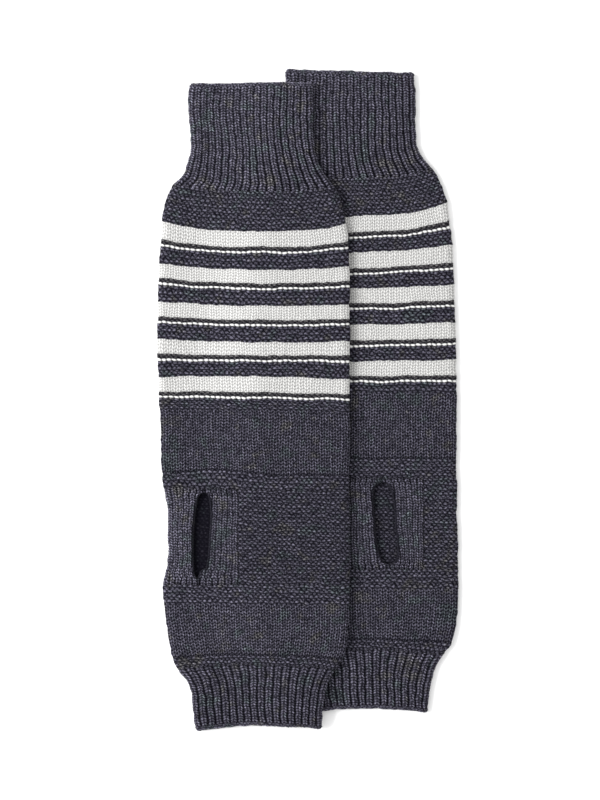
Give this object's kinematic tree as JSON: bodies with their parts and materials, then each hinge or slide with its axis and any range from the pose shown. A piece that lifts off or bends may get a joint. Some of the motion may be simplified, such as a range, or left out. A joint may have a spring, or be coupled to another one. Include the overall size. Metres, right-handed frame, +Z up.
{
  "type": "pair of knitted leg warmers",
  "caption": "Pair of chunky striped knit leg warmers with ribbed cuffs and a heel slot, laid flat with one half over the other.",
  "frame": {"origin": "on the surface it lies on, under the middle of the pair's box", "axes": "+Z up, +Y along the legs towards the calf ends, +X towards the back warmer's side"},
  "size_m": [0.236, 0.5168, 0.0137],
  "materials": {
    "charcoal_knit": "matte heather wool blend, chunky rib, garter and plain knit",
    "striped_knit": "matte heather wool blend with off-white stripes and dashed lines"
  },
  "bodies": {
    "root": {"front_calf_cuff": "charcoal_knit", "front_leg": "striped_knit", "front_heel_wall": "charcoal_knit", "front_heel_rib": "charcoal_knit", "front_foot": "charcoal_knit", "front_foot_cuff": "charcoal_knit", "back_calf_cuff": "charcoal_knit", "back_leg": "striped_knit", "back_heel_wall": "charcoal_knit", "back_heel_rib": "charcoal_knit", "back_foot": "charcoal_knit", "back_foot_cuff": "charcoal_knit"}
  },
  "joints": []
}
